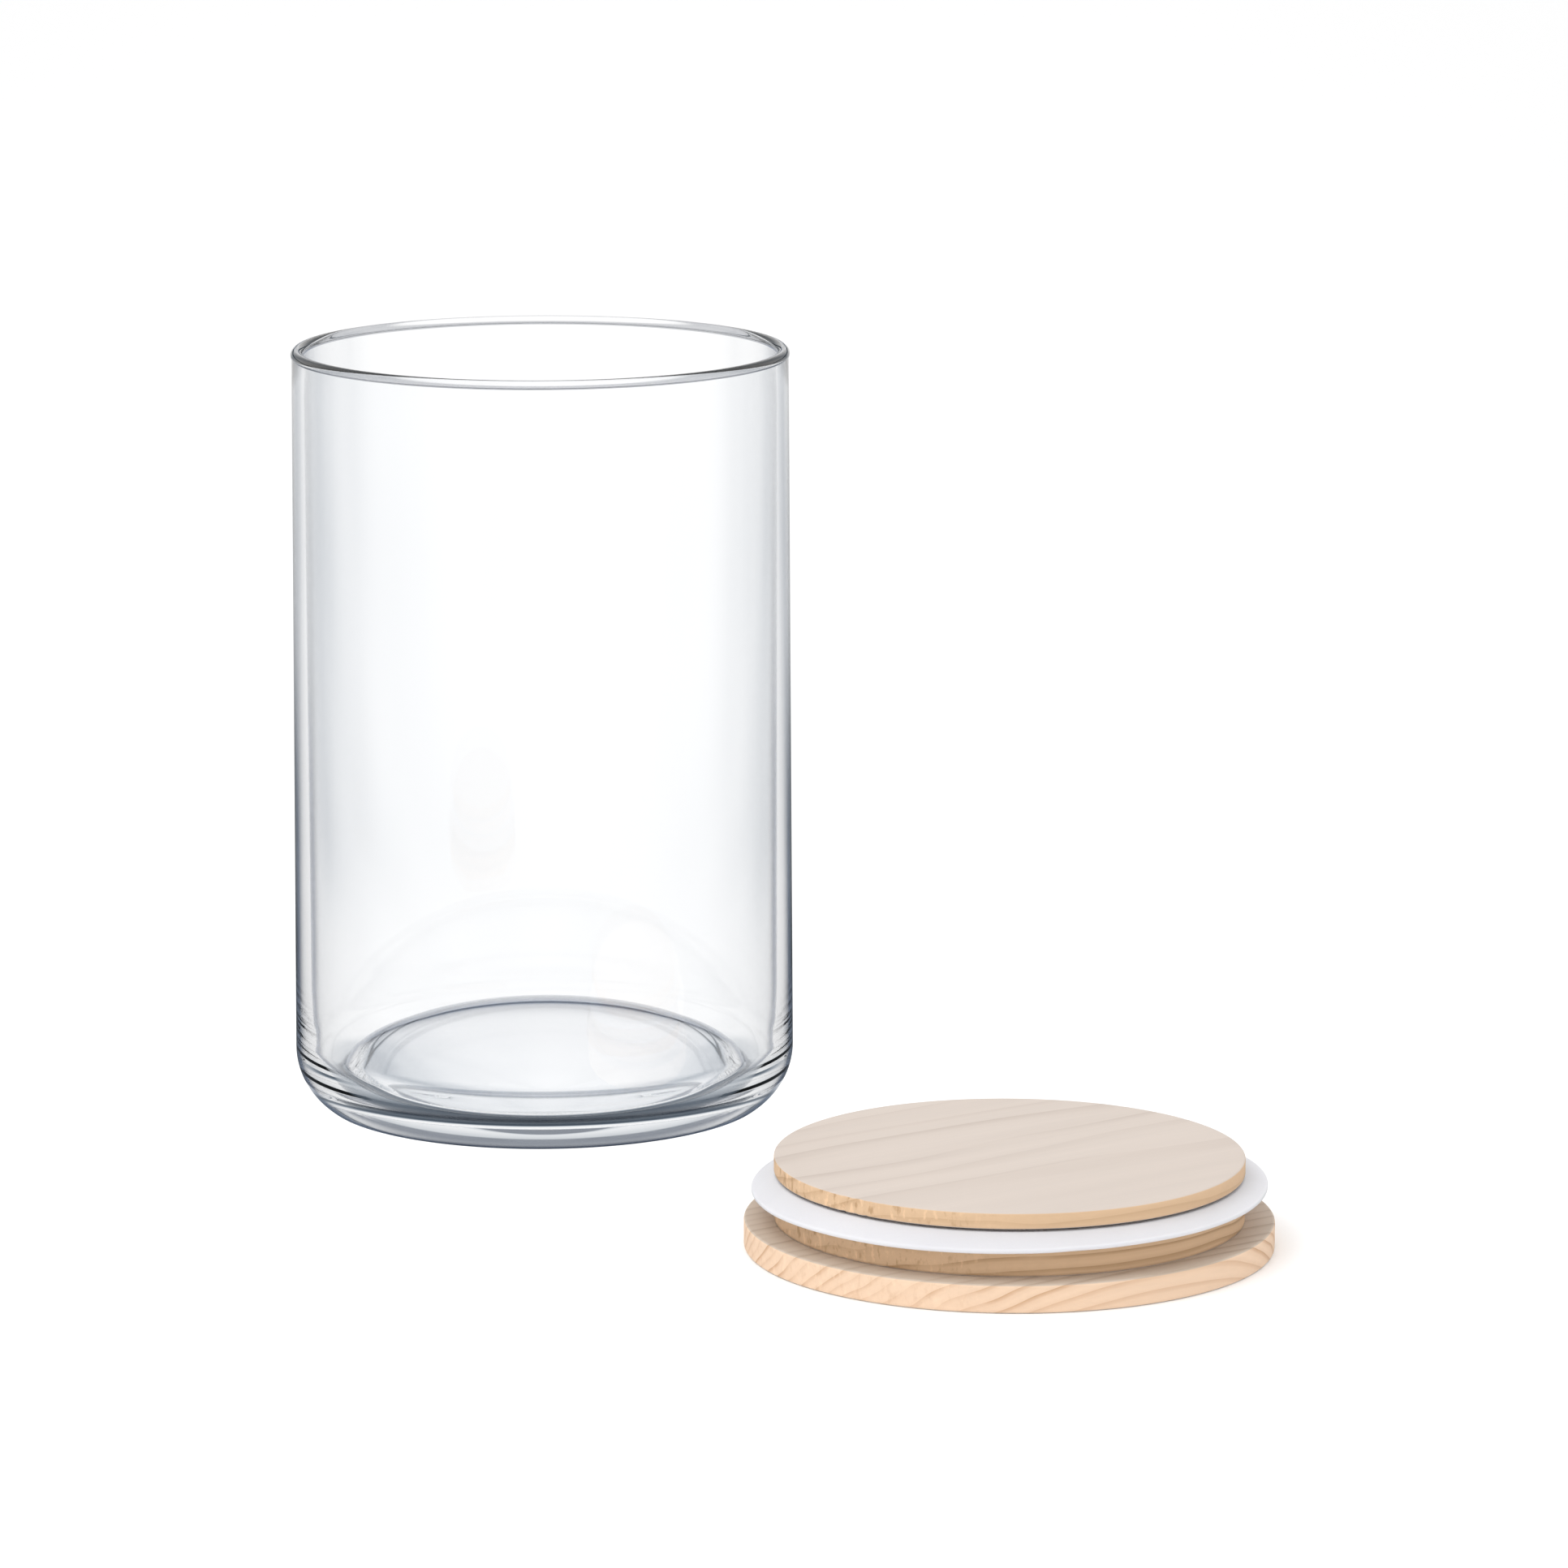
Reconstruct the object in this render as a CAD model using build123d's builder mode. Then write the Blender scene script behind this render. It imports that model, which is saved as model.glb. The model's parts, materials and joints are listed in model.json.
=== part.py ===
from build123d import *
import math
import os

# Straight-sided glass storage jar with a wooden lid, the lid lying upside down beside it.
# Millimetres, +Z up. The origin is the middle of the jar's foot, on the table.

# --- glass jar -----------------------------------------------------------------
jar_height = 185.5
mouth_r = 57.0            # inner wall, straight from the lip down to just above the floor
lip_wall = 3.0            # glass thickness at the lip
lip_r = mouth_r + lip_wall
low_wall_r = 60.8         # outer radius where the heel starts, the glass thickens downwards
heel_z = 14.0             # height of the start of the heel
foot_outer_r = 53.0       # where the heel meets the table
foot_edge_r = 1.2         # softening of that edge
punt_r = 40.0             # inside of the bearing ring
punt_rise = 9.0           # height of the pushed-up hollow under the middle
bore_end_z = 24.0         # end of the straight inner wall, just above the domed floor
corner_z = 17.5           # where the inner wall starts to round into the floor
corner_r = 56.7           # its radius there, as the wall thickens a little towards the floor
trough_r = 49.6           # ring-shaped low line of the inside, around the domed floor
trough_z = 6.7
trough_ease = 1.0         # softening of that low line
dome_rise = 15.4          # height of the domed floor above the low line
quarter = 0.5523          # pull of a Bezier curve's inner points that makes it a quarter ellipse

# --- lid, as it lies: outer face on the table, plug upwards ----------------------
lid_x = 109.5
lid_y = -140.0
cover_r = 60.0
cover_t = 6.5
cover_ease = 0.6          # sanded edges of the cover
plug_r = 53.2
plug_land_h = 6.7         # plain part of the plug against the cover
groove_w = 4.0            # groove for the seal
groove_r = 49.4
plug_end_h = 3.7          # disc at the end of the plug
plug_ease = 0.4           # sanded edges of the plug's end
plug_h = plug_land_h + groove_w + plug_end_h
seal_inner_r = groove_r   # the ring grips the bottom of the groove
seal_r = 58.3             # free radius, larger than the mouth so that it presses on the glass
seal_z = cover_t + plug_land_h
seal_root_t = 3.4         # thickness in the groove
seal_lip_t = 1.2          # thickness at the free edge
seal_ease = 0.5           # rounded edge of the seal

lip_round = lip_wall / 2.0
lip_mid_r = (lip_r + mouth_r) / 2.0
lip_z = jar_height - lip_round

# The heel is one arc that leaves the wall smoothly and comes down to the foot.
heel_in = low_wall_r - foot_outer_r
heel_r = (heel_in ** 2 + heel_z ** 2) / (2.0 * heel_in)
heel_axis_r = low_wall_r - heel_r
heel_turn = math.atan2(heel_z, foot_outer_r - heel_axis_r) / 2.0
heel_mid = (heel_axis_r + heel_r * math.cos(heel_turn), heel_z - heel_r * math.sin(heel_turn))

# One half section of the jar, walked from the foot up the outside and down the inside.
with BuildPart() as jar:
    with BuildSketch(Plane.XZ) as jar_section:
        with BuildLine():
            Line((punt_r, 0.0), (foot_outer_r, 0.0))
            ThreePointArc((foot_outer_r, 0.0), heel_mid, (low_wall_r, heel_z))
            Line((low_wall_r, heel_z), (lip_r, lip_z))
            ThreePointArc((lip_r, lip_z), (lip_mid_r, jar_height), (mouth_r, lip_z))
            Line((mouth_r, lip_z), (mouth_r, bore_end_z))
            Line((mouth_r, bore_end_z), (corner_r, corner_z))
            EllipticalCenterArc(
                (trough_r, corner_z), corner_r - trough_r, corner_z - trough_z, start_angle=270
            )
            Bezier(
                (trough_r, trough_z),
                (trough_r, trough_z + quarter * dome_rise),
                (quarter * trough_r, trough_z + dome_rise),
                (0.0, trough_z + dome_rise),
            )
            Line((0.0, trough_z + dome_rise), (0.0, punt_rise))
            Bezier(
                (0.0, punt_rise),
                (quarter * punt_r, punt_rise),
                (punt_r, quarter * punt_rise),
                (punt_r, 0.0),
            )
        make_face()
        foot_corner = jar_section.vertices().sort_by_distance((foot_outer_r, 0.0, 0.0))[0]
        fillet(foot_corner, radius=foot_edge_r)
        trough_corner = jar_section.vertices().sort_by_distance((trough_r, trough_z, 0.0))[0]
        fillet(trough_corner, radius=trough_ease)
    revolve(axis=Axis.Z)
jar.part.label = "glass_jar"

# Wide wooden disc that covers the rim; its outer face is the one on the table here.
with BuildPart() as cover:
    with BuildSketch(Plane.XY):
        with Locations((lid_x, lid_y)):
            Circle(cover_r)
    extrude(amount=cover_t)
    fillet(cover.edges().filter_by(GeomType.CIRCLE), radius=cover_ease)
cover.part.label = "lid_cover"

# Wooden plug, turned from one board, with a groove for the seal near its free end.
with BuildPart() as plug:
    with BuildSketch(Plane.XY.offset(cover_t)):
        with Locations((lid_x, lid_y)):
            Circle(plug_r)
    extrude(amount=plug_h)
    with BuildSketch(Plane.XY.offset(cover_t + plug_land_h)):
        with Locations((lid_x, lid_y)):
            Circle(plug_r)
            Circle(groove_r, mode=Mode.SUBTRACT)
    extrude(amount=groove_w, mode=Mode.SUBTRACT)
    end_edges = plug.edges().filter_by(GeomType.CIRCLE).group_by(Axis.Z)
    fillet(end_edges[-1] + end_edges[-2].group_by(SortBy.RADIUS)[-1], radius=plug_ease)
plug.part.label = "lid_plug"

# Soft ring in the groove, resting on the land: a thick root that thins to a free lip.
seal_plane = Plane(origin=(lid_x, lid_y, 0.0), x_dir=(1, 0, 0), z_dir=(0, -1, 0))
with BuildPart() as seal:
    with BuildSketch(seal_plane) as seal_section:
        with BuildLine():
            Polyline(
                (seal_inner_r, seal_z),
                (seal_r, seal_z),
                (seal_r, seal_z + seal_lip_t),
                (plug_r, seal_z + seal_root_t),
                (seal_inner_r, seal_z + seal_root_t),
                close=True,
            )
        make_face()
        for outer_z in (seal_z, seal_z + seal_lip_t):
            outer_corner = seal_section.vertices().sort_by_distance((seal_r, outer_z, 0.0))[0]
            fillet(outer_corner, radius=seal_ease)
    revolve(axis=Axis((lid_x, lid_y, 0.0), (0, 0, 1)))
seal.part.label = "gasket"

os.makedirs("parts", exist_ok=True)
export_step(jar.part, "parts/glass_jar.step")
export_step(cover.part, "parts/lid_cover.step")
export_step(plug.part, "parts/lid_plug.step")
export_step(seal.part, "parts/gasket.step")
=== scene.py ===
import json
import math

import bmesh
import bpy
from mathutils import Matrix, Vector, noise


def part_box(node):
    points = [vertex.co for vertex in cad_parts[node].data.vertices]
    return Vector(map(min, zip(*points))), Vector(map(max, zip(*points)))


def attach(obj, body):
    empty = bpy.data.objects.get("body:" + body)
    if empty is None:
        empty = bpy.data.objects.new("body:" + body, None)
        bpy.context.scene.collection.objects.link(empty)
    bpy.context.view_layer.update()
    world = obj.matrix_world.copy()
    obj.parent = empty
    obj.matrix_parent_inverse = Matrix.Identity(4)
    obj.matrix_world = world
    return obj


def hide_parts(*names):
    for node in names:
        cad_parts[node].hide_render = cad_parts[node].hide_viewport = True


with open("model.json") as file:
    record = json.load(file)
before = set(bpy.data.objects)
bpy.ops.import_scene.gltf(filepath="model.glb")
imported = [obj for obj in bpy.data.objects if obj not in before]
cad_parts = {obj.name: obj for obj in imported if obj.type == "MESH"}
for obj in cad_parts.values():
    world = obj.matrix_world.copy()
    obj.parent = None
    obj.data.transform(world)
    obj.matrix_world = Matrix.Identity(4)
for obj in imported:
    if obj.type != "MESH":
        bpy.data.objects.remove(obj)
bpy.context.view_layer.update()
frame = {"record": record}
scene = bpy.context.scene
MM = 0.001

# --- sizes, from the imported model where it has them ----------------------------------
jar_low, jar_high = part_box("glass_jar")
cover_low, cover_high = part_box("lid_cover")
plug_low, plug_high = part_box("lid_plug")
seal_low, seal_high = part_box("gasket")
mounts = {mount["name"]: mount for mount in frame["record"]["mounts"]}
lid_x, lid_y, _ = mounts["lid_face"]["pos_m"]
mouth_r = mounts["jar_mouth"]["dims"]["r_mm"] * MM
jar_top = jar_high.z
low_wall_r = (jar_high.x - jar_low.x) / 2
cover_r = (cover_high.x - cover_low.x) / 2
plug_r = (plug_high.x - plug_low.x) / 2
seal_r = (seal_high.x - seal_low.x) / 2

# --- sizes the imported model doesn't name, as in part.py ------------------------------
LIP_WALL = 3.0 * MM
BEAD = 0.25 * MM                  # how far the lip stands proud of the wall under it
BEAD_DROP = 0.5 * MM
HEEL_Z = 14.0 * MM                # start of the heel
FOOT_R = 53.0 * MM                # outside of the bearing ring
FOOT_EDGE = 0.8 * MM
PUNT_R = 40.0 * MM                # inside of the bearing ring
PUNT_RISE = 9.0 * MM              # height of the pushed-up hollow
BORE_END_Z = 24.0 * MM            # end of the straight inner wall
CORNER_Z = 17.5 * MM              # start of the rounding into the floor
CORNER_R = 56.7 * MM
TROUGH_R = 49.6 * MM              # low line round the domed floor
TROUGH_Z = 6.7 * MM
DOME_RISE = 15.4 * MM
GROOVE_W = 4.0 * MM
GROOVE_R = 49.4 * MM
COVER_EASE = 0.6 * MM
PLUG_EASE = 0.4 * MM
LAND_EASE = 0.2 * MM
SEAL_EASE = 0.5 * MM
SEAL_LIP = 1.2 * MM               # thickness of the seal's free edge
SEAL_LIFT = 0.9 * MM              # how far that edge stands up on one side of the lid
SEAL_SAG = 0.75 * MM              # and hangs down on the other
SEAL_RIPPLE = 0.12 * MM

lip_r = LIP_WALL / 2
neck_r = mouth_r + LIP_WALL - BEAD
neck_z = jar_top - lip_r - BEAD_DROP
land_top = seal_low.z
groove_top = land_top + GROOVE_W

# --- glass ---------------------------------------------------------------------------
GLASS_CLEAR = (0.985, 0.992, 1.0)
# Painted shade: how much of each channel the glass's colour loses at full strength.
GLASS_SHADE = (0.635, 0.63, 0.61)  # how much of each channel a glancing surface takes away
GLASS_IOR = 1.52
SILICONE_IOR = 1.41

# --- wood ----------------------------------------------------------------------------
GRAIN = math.radians(36)          # direction of the fibres in plan, both boards
COVER_TILT = math.radians(41)     # slope of the growth rings across the board
PLUG_TILT = math.radians(13)
COVER_RING = 2.9 * MM             # spacing of the growth rings
PLUG_RING = 3.4 * MM
TEAR_MIDDLE = math.radians(228)   # where the tool tore the end grain of the edges
TEAR_HALF = math.radians(20)
TEAR_DEPTH = 0.5 * MM
CENTRE_SHARE = 0.02               # innermost ring of a disc's mesh, as a share of its radius
# Each board's colours: its flat face, the lines on it, its turned edge, the lines on that. Face and
# edge differ partly by painted light, a cooler lit top against warmer sides; the plug's edge colours
# carry painted shade from under the seal, and the cover's face colour painted shade from beside the
# plug.
COVER_TONES_AND_SHADE = ((0.58, 0.48, 0.39), (0.42, 0.32, 0.24), (0.83, 0.61, 0.44), (0.58, 0.35, 0.20))
PLUG_TONES_AND_SHADE = ((0.62, 0.54, 0.48), (0.50, 0.42, 0.365), (0.69, 0.475, 0.295), (0.44, 0.27, 0.14))

# --- the light tent seen in the glass -------------------------------------------------
TENT_R = 8.0
NEAR_R = 1.6                      # part of its floor that the walls of the jar look at
FOOT_SPAN = 0.1                   # part of it that the base looks at
TENT_GAIN = 1.06
MIRROR_Z = 0.5 * MM

# --- mesh density ---------------------------------------------------------------------
TURNS = 360
TORN_TURNS = 900                  # enough for the small tears in the plug's edge

# --- camera and lights ----------------------------------------------------------------
LENS = 164.5
CAMERA_PLACE = (0.0586, -1.7105, 0.416)
CAMERA_TILT = 11.166              # degrees below level
ROOM_LIGHT = 1.03
KEY_PLACE = (-0.5, -0.6, 1.2)
KEY_AIM = (0.05, -0.07, 0.05)
KEY_SIDE = 0.8
KEY_POWER = 6


# --- camera and light objects ----------------------------------------------------------
def make_camera():
    """Long lens a little above the jar's rim, level across, tilted down without any shift."""
    data = bpy.data.cameras.new("camera")
    data.sensor_width = 36.0
    data.lens = LENS
    data.clip_end = 100.0
    camera = bpy.data.objects.new("camera", data)
    camera.location = CAMERA_PLACE
    camera.rotation_euler = (math.radians(90 - CAMERA_TILT), 0, 0)
    scene.collection.objects.link(camera)
    scene.camera = camera


def make_key_light():
    """A soft square lamp from the upper left, which the glass doesn't show."""
    data = bpy.data.lights.new("key", "AREA")
    data.shape = "RECTANGLE"
    data.size = KEY_SIDE
    data.size_y = KEY_SIDE
    data.energy = KEY_POWER
    light = bpy.data.objects.new("key", data)
    light.location = KEY_PLACE
    way = Vector(KEY_AIM) - Vector(KEY_PLACE)
    light.rotation_euler = way.to_track_quat("-Z", "Y").to_euler()
    light.visible_glossy = False
    light.visible_transmission = False
    scene.collection.objects.link(light)


def make_world():
    """Even white all round, as inside a big soft box."""
    world = bpy.data.worlds.new("studio")
    world.use_nodes = True
    background = world.node_tree.nodes["Background"]
    background.inputs["Color"].default_value = (1, 1, 1, 1)
    background.inputs["Strength"].default_value = ROOM_LIGHT
    scene.world = world


# --- node trees ------------------------------------------------------------------------
class Nodes:
    """Short calls for building one material's node tree."""

    def __init__(self, name):
        self.material = bpy.data.materials.new(name)
        self.material.use_nodes = True
        self.tree = self.material.node_tree
        self.shader = self.tree.nodes["Principled BSDF"]
        self.out = self.tree.nodes["Material Output"]
        self.place = self.tree.nodes.new("ShaderNodeTexCoord")

    def put(self, value, socket):
        if isinstance(value, bpy.types.NodeSocket):
            self.tree.links.new(value, socket)
        else:
            socket.default_value = value

    def set(self, name, value):
        self.put(value, self.shader.inputs[name])

    def math(self, operation, *values):
        node = self.tree.nodes.new("ShaderNodeMath")
        node.operation = operation
        for i, value in enumerate(values):
            self.put(value, node.inputs[i])
        return node.outputs[0]

    def add(self, *values):
        total = values[0]
        for value in values[1:]:
            total = self.math("ADD", total, value)
        return total

    def times(self, *values):
        total = values[0]
        for value in values[1:]:
            total = self.math("MULTIPLY", total, value)
        return total

    def split(self, vector):
        node = self.tree.nodes.new("ShaderNodeSeparateXYZ")
        self.put(vector, node.inputs[0])
        return node.outputs

    def join(self, x, y, z):
        node = self.tree.nodes.new("ShaderNodeCombineXYZ")
        for value, socket in zip((x, y, z), node.inputs):
            self.put(value, socket)
        return node.outputs[0]

    def radius(self, x, y):
        """Distance from the jar's axis."""
        return self.math("SQRT", self.add(self.times(x, x), self.times(y, y)))

    def scaled(self, parts, scales):
        """A vector with each part stretched by its own scale."""
        return self.join(*(self.times(part, scale) for part, scale in zip(parts, scales)))

    def along(self, parts, direction):
        """Length of a vector's parts along a direction."""
        return self.add(*(self.times(part, share) for part, share in zip(parts, direction)))

    def noise(self, vector, scale, detail=2.0, roughness=0.5):
        node = self.tree.nodes.new("ShaderNodeTexNoise")
        self.put(vector, node.inputs["Vector"])
        node.inputs["Scale"].default_value = scale
        node.inputs["Detail"].default_value = detail
        node.inputs["Roughness"].default_value = roughness
        return node.outputs[0]

    def curve(self, value, stops):
        """A smooth curve through (input, output) pairs."""
        node = self.tree.nodes.new("ShaderNodeValToRGB")
        ramp = node.color_ramp
        ramp.interpolation = "EASE"
        for element, (position, level) in zip(ramp.elements, (stops[0], stops[-1])):
            element.position = position
            element.color = (level, level, level, 1)
        for position, level in stops[1:-1]:
            ramp.elements.new(position).color = (level, level, level, 1)
        self.put(value, node.inputs[0])
        return node.outputs[0]

    def step(self, value, low, high):
        """0 below one value, 1 above the other, smooth between."""
        node = self.tree.nodes.new("ShaderNodeMapRange")
        node.interpolation_type = "SMOOTHSTEP"
        self.put(value, node.inputs["Value"])
        node.inputs["From Min"].default_value = low
        node.inputs["From Max"].default_value = high
        return node.outputs[0]

    def mix(self, share, a, b):
        rest = self.math("SUBTRACT", 1.0, share)
        return self.add(self.times(rest, a), self.times(share, b))

    def blend(self, share, a, b):
        """Mixes two colours."""
        node = self.tree.nodes.new("ShaderNodeMix")
        node.data_type = "RGBA"
        self.put(share, node.inputs[0])
        for value, socket in ((a, node.inputs[6]), (b, node.inputs[7])):
            self.put((*value, 1) if isinstance(value, tuple) else value, socket)
        return node.outputs[2]

    def glow(self, level, red, green):
        """Emission, bluer where it is darker, that isn't sampled as a lamp."""
        node = self.tree.nodes.new("ShaderNodeEmission")
        colour = self.join(self.math("POWER", level, red), self.math("POWER", level, green), level)
        self.put(colour, node.inputs["Color"])
        self.put(node.outputs[0], self.out.inputs["Surface"])
        self.material.cycles.emission_sampling = "NONE"

    def bump(self, height, distance, strength=1.0):
        node = self.tree.nodes.new("ShaderNodeBump")
        self.put(height, node.inputs["Height"])
        node.inputs["Distance"].default_value = distance
        node.inputs["Strength"].default_value = strength
        self.set("Normal", node.outputs[0])


# --- stage -------------------------------------------------------------------------------
def floor_paper():
    """Matt white paper with a trace of fibre."""
    n = Nodes("floor_paper")
    fibre = n.noise(n.place.outputs["Object"], 900.0, 3.0)
    shade = n.mix(fibre, 0.955, 0.975)
    n.set("Base Color", n.join(shade, shade, shade))
    n.set("Roughness", 0.9)
    return n.material


def make_floor():
    """White paper, far enough to fill every view; the glass sees the tent instead of it."""
    half = 30.0
    corners = [(-half, -half, 0), (half, -half, 0), (half, half, 0), (-half, half, 0)]
    mesh = bpy.data.meshes.new("floor")
    mesh.from_pydata(corners, [], [(0, 1, 2, 3)])
    mesh.materials.append(floor_paper())
    floor = bpy.data.objects.new("floor", mesh)
    floor.visible_transmission = False
    floor.visible_glossy = False
    scene.collection.objects.link(floor)


def tent_cloth():
    """Glow of the tent: panels and gaps that the glass bends into its dark and bright lines, and a
    painted contact shadow on its floor round the jar's foot.
    """
    n = Nodes("tent_cloth")
    x, y, z = n.split(n.place.outputs["Object"])
    r = n.radius(x, y)
    up = n.math("DIVIDE", n.math("ARCTAN2", z, r), math.pi / 2)
    eighths = n.math("ABSOLUTE", n.math("DIVIDE", n.math("ARCTAN2", x, y), math.pi / 4))
    from_back = n.math("DIVIDE", eighths, 4.0)
    front = n.curve(from_back, [(0, 0), (0.42, 0.1), (0.56, 0.9), (1, 1)])

    # Eight panels, brightest in their middles, and plainer towards the front.
    off = n.times(n.math("PINGPONG", eighths, 0.5), 2.0)
    panels = n.curve(off, [(0, 1), (0.2, 0.98), (0.45, 0.91), (0.7, 0.75), (1, 0.55)])
    side = n.mix(n.curve(from_back, [(0, 1), (0.35, 1), (0.6, 0.3), (1, 0.3)]), 1.0, panels)

    # The wall by height in degrees: a narrow dark gap draws the arched line in the base.
    heights = [(0, 0.97), (3.8, 0.97), (4.6, 0.05), (6, 0.05), (7.5, 0.8), (9, 1), (30, 1)]
    heights += [(60, 0.85), (90, 0.85)]
    wall = n.curve(up, [(degrees / 90, level) for degrees, level in heights])

    # The floor by distance: a painted contact shadow, a dark ring under the foot, deepest at the
    # front.
    near = n.math("DIVIDE", r, FOOT_SPAN)
    back_shadow_ring = [(0, 0.92), (0.40, 0.95), (0.47, 0.85), (0.53, 0.7), (0.60, 0.9), (0.7, 1), (1, 1)]
    front_shadow_ring = [(0, 0.92), (0.40, 0.95), (0.455, 0.9), (0.485, 0.1), (0.56, 0.1), (0.62, 0.55)]
    front_shadow_ring += [(0.75, 1), (1, 1)]
    base = n.mix(front, n.curve(near, back_shadow_ring), n.curve(near, front_shadow_ring))
    distance = n.math("DIVIDE", r, NEAR_R)
    far = n.curve(distance, [(0, 0), (0.1, 0.05), (0.22, 0.45), (0.55, 0.9), (1, 1)])
    floor = n.times(base, n.mix(far, 1.0, side))

    on_wall = n.math("GREATER_THAN", z, 2 * MM)
    level = n.times(n.mix(on_wall, floor, n.times(wall, side)), TENT_GAIN)
    n.glow(level, 1.24, 1.12)
    return n.material


def make_tent():
    """A round tent with a floor, seen only through and in the glass."""
    pin_hole = 0.1 * MM
    section = [(pin_hole, 0.0), (TENT_R, 0.0)]
    section += arc((0, 0), TENT_R, 5, 85, 16)
    section += [(pin_hole, TENT_R)]
    tent = lathe("tent", section, 180, closed=False)
    tent.data.materials.append(tent_cloth())
    tent.visible_camera = False
    tent.visible_diffuse = False
    tent.visible_shadow = False


def mirror_cloth():
    """Dark near the jar and white far away, which draws the outline of the glass."""
    n = Nodes("mirror_cloth")
    x, y, _ = n.split(n.place.outputs["Object"])
    distance = n.math("DIVIDE", n.radius(x, y), NEAR_R)
    level = n.curve(distance, [(0, 0.12), (0.1, 0.10), (0.2, 0.25), (0.5, 0.7), (1, 1)])
    n.glow(level, 1.12, 1.06)
    return n.material


def make_mirror_floor():
    """A disc with a hole for the jar, just over the tent's floor, that only reflections show."""
    section = [(low_wall_r + 1 * MM, MIRROR_Z), (NEAR_R * 0.95, MIRROR_Z)]
    disc = lathe("mirror_floor", section, 90, closed=False)
    disc.data.materials.append(mirror_cloth())
    disc.visible_camera = False
    disc.visible_diffuse = False
    disc.visible_transmission = False
    disc.visible_shadow = False


# --- shapes --------------------------------------------------------------------------------
def arc(middle, radius, start, end, steps):
    """Points of an arc in the section plane, from one angle to another, in degrees."""
    return oval(middle, (radius, radius), start, end, steps)


def oval(middle, radii, start, end, steps):
    """Points of an elliptical arc in the section plane, angles in degrees."""
    points = []
    for i in range(steps + 1):
        a = math.radians(start + (end - start) * i / steps)
        points.append((middle[0] + radii[0] * math.cos(a), middle[1] + radii[1] * math.sin(a)))
    return points


def line(start, end, steps):
    """Points between two section points, without the last one."""
    points = []
    for i in range(steps):
        share = i / steps
        r = start[0] + (end[0] - start[0]) * share
        z = start[1] + (end[1] - start[1]) * share
        points.append((r, z))
    return points


def lathe(name, section, turns, centre=(0.0, 0.0), shape=None, closed=None):
    """Turns a section round the vertical axis; a point on the axis closes it there."""
    on_axis = 1e-9
    if closed is None:
        closed = section[0][0] > on_axis
    grid = bmesh.new()
    rings = []
    for r, z in section:
        ring = []
        for i in range(turns if r > on_axis else 1):
            a = 2 * math.pi * i / turns
            rr, zz = shape(r, z, a) if shape and r > on_axis else (r, z)
            x = centre[0] + rr * math.cos(a)
            y = centre[1] + rr * math.sin(a)
            ring.append(grid.verts.new((x, y, zz)))
        rings.append(ring)
    following = rings[1:] + rings[:1] if closed else rings[1:]
    for low, high in zip(rings, following):
        for i in range(turns):
            j = (i + 1) % turns
            corners = (low[i % len(low)], low[j % len(low)], high[j % len(high)], high[i % len(high)])
            grid.faces.new(list(dict.fromkeys(corners)))
    bmesh.ops.recalc_face_normals(grid, faces=grid.faces)
    mesh = bpy.data.meshes.new(name)
    grid.to_mesh(mesh)
    grid.free()
    mesh.shade_smooth()
    piece = bpy.data.objects.new(name, mesh)
    scene.collection.objects.link(piece)
    return piece


def window(value, middle, half):
    """1 in the middle of a stretch, falling smoothly to 0 at its ends."""
    share = max(0.0, 1 - abs(value - middle) / half)
    return share * share * (3 - 2 * share)


# --- glass jar -----------------------------------------------------------------------------
def jar_section():
    """From the axis under the hollow, out and up the wall, over the lip, down to the domed floor."""
    heel_in = low_wall_r - FOOT_R
    heel_r = (heel_in**2 + HEEL_Z**2) / (2 * heel_in)
    heel_axis = low_wall_r - heel_r
    heel_end = -math.degrees(math.atan2(HEEL_Z, FOOT_R - heel_axis))
    lip_z = jar_top - lip_r
    points = oval((0, 0), (PUNT_R, PUNT_RISE), 90, 0, 48)
    points[0] = (0, PUNT_RISE)
    points += line((PUNT_R, 0), (FOOT_R - FOOT_EDGE, 0), 6)[1:]
    softened = 2  # degrees of the heel's arc that the foot's soft edge takes the place of
    points += arc((heel_axis, HEEL_Z), heel_r, heel_end + softened, 0, 30)
    points += line((low_wall_r, HEEL_Z), (neck_r, neck_z), 20)[1:]
    points.append((neck_r, neck_z - 0.1 * MM))  # keeps the bead's shading off the long wall
    points += oval((neck_r, lip_z), (BEAD, BEAD_DROP), -90, 0, 8)[:-1]
    points += arc((mouth_r + lip_r, lip_z), lip_r, 0, 180, 24)
    points += line((mouth_r, lip_z), (mouth_r, BORE_END_Z), 20)[1:]
    points += line((mouth_r, BORE_END_Z), (CORNER_R, CORNER_Z), 4)
    points += oval((TROUGH_R, CORNER_Z), (CORNER_R - TROUGH_R, CORNER_Z - TROUGH_Z), 0, -90, 40)
    points += oval((0, TROUGH_Z), (TROUGH_R, DOME_RISE), 0, 90, 60)[1:-1]
    points += [(0, TROUGH_Z + DOME_RISE)]
    return points


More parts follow.
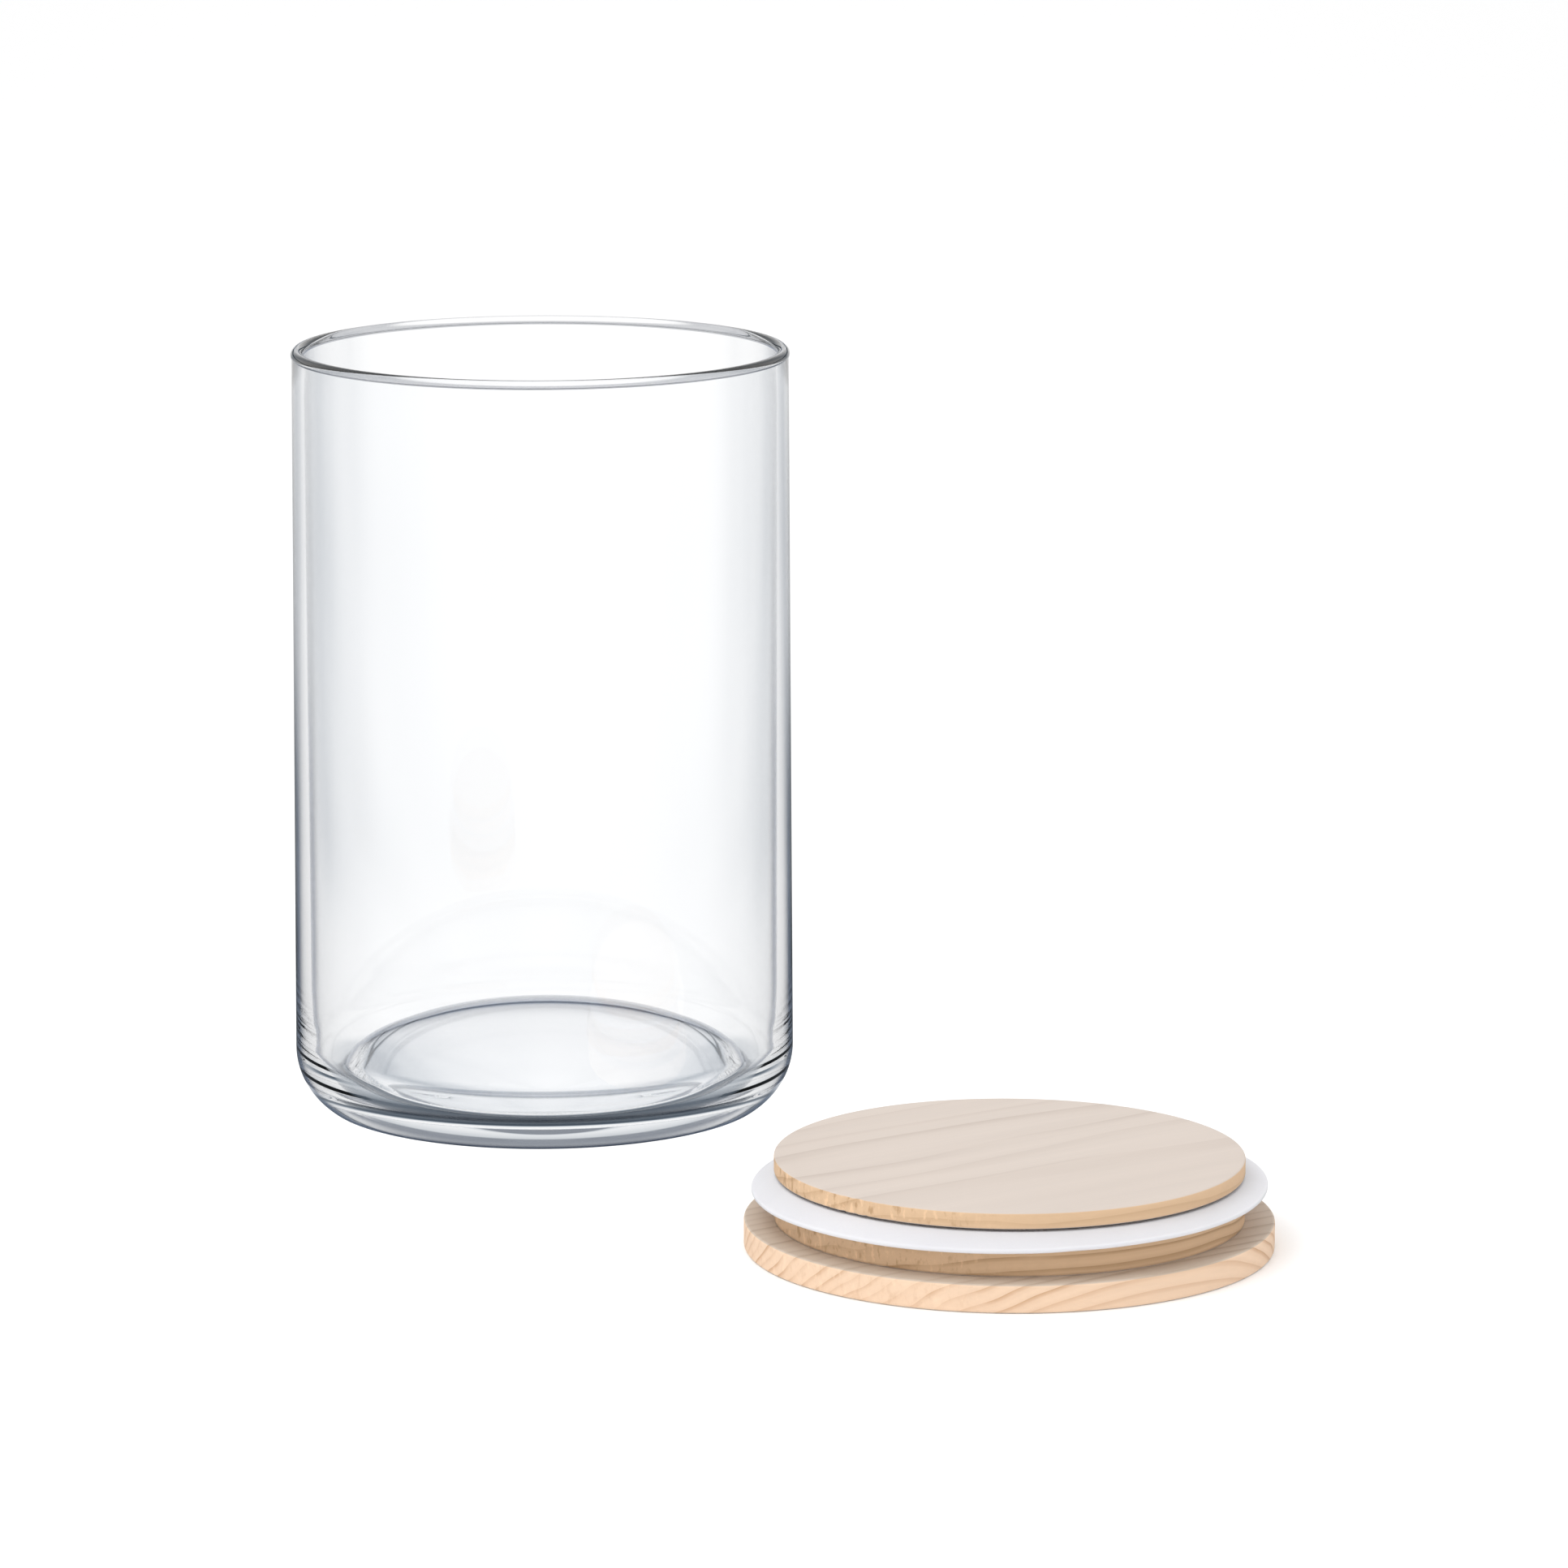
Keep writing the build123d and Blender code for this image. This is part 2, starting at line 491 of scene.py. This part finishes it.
def painted_glass_shade(n, r, z):
    """Painted shade that the glass's colour takes away. It is strongest where the view glances along
    the glass, for the dark surroundings its edges show, and adds a painted dark outline at the edge
    that grows lower down, painted shade lines under the bead and on the crest of the lip, and a
    painted contact shadow round the outside of the foot.
    """
    weight = n.tree.nodes.new("ShaderNodeLayerWeight")
    weight.inputs["Blend"].default_value = 0.5
    facing = weight.outputs["Facing"]
    # Painted shade that grows as the view glances along the surface.
    stops = [(0, 0), (0.25, 0.01), (0.45, 0.1), (0.65, 0.28), (0.8, 0.5), (1, 0.9)]
    glancing = n.curve(facing, stops)
    # A painted dark outline at the very edge, stronger lower down.
    shade_low_down = n.mix(n.step(z, 0.17, 0.05), 0.3, 1.0)
    outline = n.times(shade_low_down, n.step(facing, 0.72, 0.84))
    # A painted shade line just under the bead.
    over_neck = n.step(z, neck_z - 0.1 * MM, neck_z)
    under_bead = n.step(z, neck_z + 0.4 * MM, neck_z + 0.3 * MM)
    # A fainter painted shade line along the crest of the lip.
    crest_shade = n.step(z, jar_top - 0.15 * MM, jar_top - 0.05 * MM)
    # A painted contact shadow round the outside of the foot.
    near_floor = n.step(z, 2.0 * MM, 0.6 * MM)
    at_edge = n.step(r, FOOT_R - 1.5 * MM, FOOT_R - 0.5 * MM)
    shade_under_lip = n.times(over_neck, under_bead)
    foot = n.times(near_floor, at_edge, 1.3)
    total = n.add(glancing, outline, shade_under_lip, n.times(crest_shade, 0.5), foot)
    return n.math("MINIMUM", total, 1.5)


def stipple(n, r, z):
    """Fine pits in a ring on the underside of the base."""
    pits = n.tree.nodes.new("ShaderNodeTexVoronoi")
    pits.inputs["Scale"].default_value = 1500.0
    n.put(n.place.outputs["Object"], pits.inputs["Vector"])
    band = n.times(n.step(r, 30 * MM, 34 * MM), n.step(r, 46 * MM, 42 * MM))
    return n.times(n.step(z, 2.2 * MM, 1.2 * MM), band, n.step(pits.outputs["Distance"], 0.1, 0.6))


def clear_glass():
    """Colourless soda glass, bright and clear, with a stippled ring under the base. Its colour is
    darkened by painted shade at the glancing edges, under the bead, on the crest of the lip and round
    the foot.
    """
    n = Nodes("clear_glass")
    x, y, z = n.split(n.place.outputs["Object"])
    r = n.radius(x, y)
    # Painted shade, taken off the clear colour below.
    depth = painted_glass_shade(n, r, z)
    channels = zip(GLASS_CLEAR, GLASS_SHADE)
    tint = [n.math("SUBTRACT", clear, n.times(depth, taken)) for clear, taken in channels]
    n.set("Base Color", n.join(*tint))
    smear = n.noise(n.place.outputs["Object"], 38.0, 3.0)
    n.set("Roughness", n.times(n.step(smear, 0.62, 0.9), 0.012))
    n.set("IOR", GLASS_IOR)
    n.set("Transmission Weight", 1.0)
    n.bump(stipple(n, r, z), 0.25 * MM)
    return n.material


def make_jar():
    """The glass, without a shadow of its own: it stands in an even white light."""
    jar = lathe("glass_jar_blown", jar_section(), TURNS)
    jar.data.materials.append(clear_glass())
    jar.visible_shadow = False
    jar.visible_diffuse = False
    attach(jar, "jar")
    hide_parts("glass_jar")


# --- wood ----------------------------------------------------------------------------------
class Board:
    """Coordinates in a board: along the fibres, then square to its rings or to its faces."""

    def __init__(self, n, tilt):
        x, y, z = n.split(n.place.outputs["Object"])
        self.spot = (n.add(x, -lid_x), n.add(y, -lid_y), z)
        self.grain = (math.cos(GRAIN), math.sin(GRAIN), 0)
        length = n.along(self.spot, self.grain)
        across = n.along(self.spot, (-math.sin(GRAIN), math.cos(GRAIN), 0))
        self.depth = n.along((across, z), (math.sin(tilt), math.cos(tilt)))
        self.width = n.along((across, z), (math.cos(tilt), -math.sin(tilt)))
        self.by_rings = (length, self.width, self.depth)
        self.by_faces = (length, across, z)


def growth_rings(n, board, ring, seed):
    """Dark late wood of each year: swaying, bowed, and stronger in some years than others."""
    x, y, z = (n.times(part, scale) for part, scale in zip(board.by_faces, (6.0, 30.0, 60.0)))
    sway = n.times(n.add(n.noise(n.join(x, y, n.add(z, seed)), 1.0, 2.0), -0.5), 2.6 * ring)
    bow = n.times(n.times(board.width, board.width), 1.6)
    years = n.math("DIVIDE", n.add(board.depth, sway, bow, 0.5), ring)
    stops = [(0, 0.15), (0.3, 0.0), (0.62, 0.15), (0.86, 0.75), (0.93, 1), (0.97, 1), (1, 0.15)]
    late = n.curve(n.math("FRACT", years), stops)
    strength = n.tree.nodes.new("ShaderNodeTexWhiteNoise")
    strength.noise_dimensions = "1D"
    n.put(n.add(n.math("FLOOR", years), seed), strength.inputs["W"])
    fade = n.noise(n.scaled(board.by_faces, (9.0, 60.0, 90.0)), 1.0, 3.0)
    return n.times(late, n.mix(strength.outputs["Value"], 0.35, 1.25), n.step(fade, 0.2, 0.6))


def wood(name, tilt, ring, tones_and_shade, torn, seed):
    """A light board: growth rings in space, fibres, end grain and a turned edge coloured apart from
    its faces, partly as painted light and shade.
    """
    face, face_line, edge, edge_line = tones_and_shade
    n = Nodes(name)
    board = Board(n, tilt)
    late = growth_rings(n, board, ring, seed)
    fibre = n.noise(n.scaled(board.by_rings, (22.0, 900.0, 900.0)), 1.0, 4.0, 0.6)
    streak = n.noise(n.scaled(board.by_rings, (7.0, 110.0, 110.0)), 1.0, 3.0)
    tear = n.noise(n.scaled(board.spot, (520.0, 520.0, 260.0)), 1.0, 3.0, 0.6)
    normal = n.split(n.place.outputs["Normal"])
    side = n.step(n.math("ABSOLUTE", normal[2]), 0.75, 0.35)
    end = n.step(n.math("ABSOLUTE", n.along(normal, board.grain)), 0.55, 0.95)

    # Faces and turned sides take their own colours; the split is partly painted light, a cooler lit
    # top against warmer sides.
    light_tone = n.blend(side, face, edge)
    dark_tone = n.blend(side, face_line, edge_line)
    colour = n.blend(n.times(late, n.mix(side, 0.75, 0.8)), light_tone, dark_tone)
    fleck_tone = tuple(min(1.0, level * 1.22) for level in edge)
    flecks = n.times(n.step(tear, 0.55, 0.68), end, side, torn, 0.8)
    colour = n.blend(flecks, colour, fleck_tone)
    hollows = n.times(n.step(tear, 0.45, 0.3), end, side, torn, 0.8)
    colour = n.blend(hollows, colour, edge_line)
    shade = n.tree.nodes.new("ShaderNodeVectorMath")
    shade.operation = "SCALE"
    n.put(colour, shade.inputs[0])
    n.put(n.add(0.90, n.times(fibre, 0.10), n.times(streak, 0.10)), shade.inputs["Scale"])

    n.set("Base Color", shade.outputs[0])
    n.set("Roughness", n.mix(fibre, 0.50, 0.68))
    n.set("Specular IOR Level", 0.35)
    n.bump(n.add(fibre, n.times(late, 0.6), n.times(tear, end, 0.8)), 0.12 * MM, 0.6)
    return n.material


def torn_plug(r, z, a):
    """Small scallops pulled out of the plug's edge where the fibres run out of it."""
    spot = Vector((a * 40.0, z / MM * 0.35, TEAR_DEPTH / MM))
    bite = max(0.0, noise.noise(spot) + 0.1) * window(a, TEAR_MIDDLE, TEAR_HALF)
    other = max(0.0, noise.noise(spot * 1.3)) * window(a, TEAR_MIDDLE - math.pi, TEAR_HALF)
    rim = window(r, plug_r, 2.0 * MM)
    return r - TEAR_DEPTH * (bite + 0.5 * other) * rim, z


def cover_section():
    """A disc with rounded corners, from its bottom middle to its top middle."""
    ease = COVER_EASE
    low, high = cover_low.z, cover_high.z
    points = [(0, low)]
    points += line((cover_r * CENTRE_SHARE, low), (cover_r - ease, low), 30)
    points += arc((cover_r - ease, low + ease), ease, -90, 0, 6)
    points += line((cover_r, low + ease), (cover_r, high - ease), 12)[1:]
    points += arc((cover_r - ease, high - ease), ease, 0, 90, 6)
    points += line((cover_r - ease, high), (cover_r * CENTRE_SHARE, high), 30)[1:]
    points += [(0, high)]
    return points


def make_cover():
    cover = lathe("lid_cover_board", cover_section(), TURNS, (lid_x, lid_y))
    grain = wood("cover_wood", COVER_TILT, COVER_RING, COVER_TONES_AND_SHADE, torn=0.35, seed=3.1)
    cover.data.materials.append(grain)
    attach(cover, "lid")
    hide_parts("lid_cover")


def plug_section():
    """The land, the groove for the seal and the end disc, as one turned board."""
    ease = PLUG_EASE
    low, high = plug_low.z, plug_high.z
    land_r, land_z = plug_r - LAND_EASE, land_top - LAND_EASE
    points = [(0, low)]
    points += line((plug_r * CENTRE_SHARE, low), (plug_r, low), 4)
    points += line((plug_r, low), (plug_r, land_z), 9)
    points += arc((land_r, land_z), LAND_EASE, 0, 90, 3)
    points += line((land_r, land_top), (GROOVE_R, land_top), 4)[1:]
    points += line((GROOVE_R, land_top), (GROOVE_R, groove_top), 5)
    points += line((GROOVE_R, groove_top), (plug_r - ease, groove_top), 4)
    points += arc((plug_r - ease, groove_top + ease), ease, -90, 0, 5)
    points += line((plug_r, groove_top + ease), (plug_r, high - ease), 8)[1:]
    points += arc((plug_r - ease, high - ease), ease, 0, 90, 6)
    points += line((plug_r - ease, high), (plug_r * CENTRE_SHARE, high), 30)[1:]
    points += [(0, high)]
    return points


def make_plug():
    plug = lathe("lid_plug_board", plug_section(), TORN_TURNS, (lid_x, lid_y), torn_plug)
    grain = wood("plug_wood", PLUG_TILT, PLUG_RING, PLUG_TONES_AND_SHADE, torn=1.0, seed=11.7)
    plug.data.materials.append(grain)
    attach(plug, "lid")
    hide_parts("lid_plug")


# --- seal ----------------------------------------------------------------------------------
def silicone():
    """Milky silicone, a little translucent, with a soft satin skin."""
    n = Nodes("silicone")
    cloud = n.noise(n.place.outputs["Object"], 60.0, 3.0)
    speck = n.noise(n.place.outputs["Object"], 1400.0, 2.0)
    n.set("Base Color", n.blend(cloud, (0.66, 0.66, 0.69), (0.72, 0.72, 0.745)))
    n.set("Roughness", n.mix(speck, 0.30, 0.48))
    n.set("IOR", SILICONE_IOR)
    n.set("Subsurface Weight", 0.6)
    n.set("Subsurface Radius", (1.0, 1.0, 1.05))
    n.set("Subsurface Scale", 1.6 * MM)
    n.bump(n.add(speck, n.times(cloud, 3.0)), 0.03 * MM)
    return n.material


def relaxed_seal(r, z, a):
    """The free part of the ring sags a little on one side and stands up on the other."""
    free = max(0.0, (r - plug_r) / (seal_r - plug_r))
    lift = SEAL_LIFT * max(0.0, math.cos(a - 0.35)) * free
    sag = SEAL_SAG * max(0.0, -math.cos(a - 0.2)) ** 0.7 * free**1.3
    ripple = SEAL_RIPPLE * math.sin(5 * a + 1.0) * free
    return r, z + lift - sag + max(ripple, 0.0)


def make_seal():
    """Thick in the groove, with a lip that thins outwards to a rounded edge."""
    low, high = seal_low.z, seal_high.z
    lip = low + SEAL_LIP
    round_r = seal_r - SEAL_EASE
    section = line((GROOVE_R, low), (round_r, low), 16)
    section += arc((round_r, low + SEAL_EASE), SEAL_EASE, -90, 0, 6)
    section += arc((round_r, lip - SEAL_EASE), SEAL_EASE, 0, 80, 6)
    section += line((round_r, lip), (plug_r, high), 16)[1:]
    section += line((plug_r, high), (GROOVE_R, high), 6)
    section += [(GROOVE_R, high)]
    seal = lathe("gasket_ring", section, TURNS, (lid_x, lid_y), relaxed_seal)
    seal.data.materials.append(silicone())
    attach(seal, "lid")
    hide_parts("gasket")


# --- the scene -------------------------------------------------------------------------------
scene.view_settings.view_transform = "Standard"
scene.cycles.max_bounces = 64     # light caught in the thick base turns black with fewer
scene.cycles.transmission_bounces = 64
scene.cycles.glossy_bounces = 16
scene.cycles.transparent_max_bounces = 24

make_camera()
make_world()
make_key_light()
make_floor()
make_tent()
make_mirror_floor()
make_jar()
make_cover()
make_plug()
make_seal()
